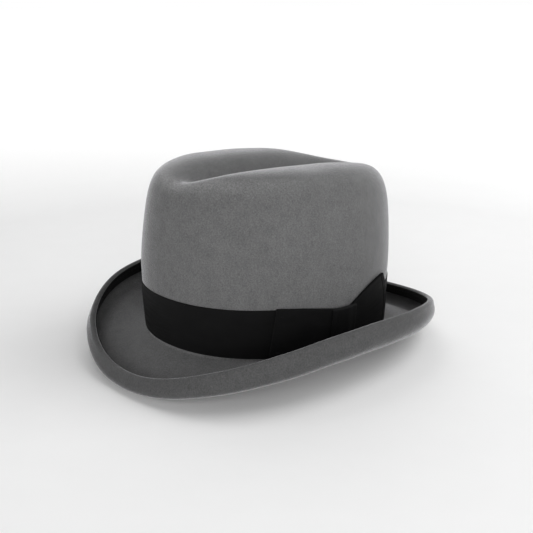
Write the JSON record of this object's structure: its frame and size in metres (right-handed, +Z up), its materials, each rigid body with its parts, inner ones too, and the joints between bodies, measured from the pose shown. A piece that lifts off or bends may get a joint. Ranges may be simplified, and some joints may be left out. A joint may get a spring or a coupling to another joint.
{
  "type": "homburg hat",
  "caption": "Stiff felt hat with one lengthwise crease in the crown, a curled and bound brim, a ribbon band with a flat side bow, a leather sweatband and a satin lining.",
  "frame": {"origin": "under the middle of the outline, on the plane that the brim's lowest stretches, in front and behind, rest on", "axes": "+Z up through the crown, -Y to the front of the hat, +X to the wearer's left, where the bow is"},
  "size_m": [0.2624, 0.2914, 0.1543],
  "materials": {
    "felt": "short-napped grey wool felt",
    "grosgrain": "black ribbed grosgrain ribbon",
    "thread": "black sewing thread",
    "leather": "smooth tan sweatband leather",
    "reed": "natural plastic cord",
    "tape": "black cotton tape",
    "satin": "pale grey satin",
    "seam_thread": "tan sewing thread"
  },
  "bodies": {
    "root": {"felt_body": "felt", "brim_binding": "grosgrain", "brim_binding_stitches": "thread", "hat_band": "grosgrain", "hat_band_stitches": "thread", "bow_front_loop": "grosgrain", "bow_back_fan": "grosgrain", "bow_keeper": "grosgrain", "bow_stitches": "thread", "sweatband": "leather", "sweatband_reed": "reed", "reed_tape": "tape", "sweatband_stitches": "seam_thread", "sweatband_seam_stitches": "seam_thread", "sweatband_bow": "grosgrain", "lining_side": "satin", "lining_tip": "satin", "lining_piping": "satin", "lining_stitches": "thread"}
  },
  "joints": []
}
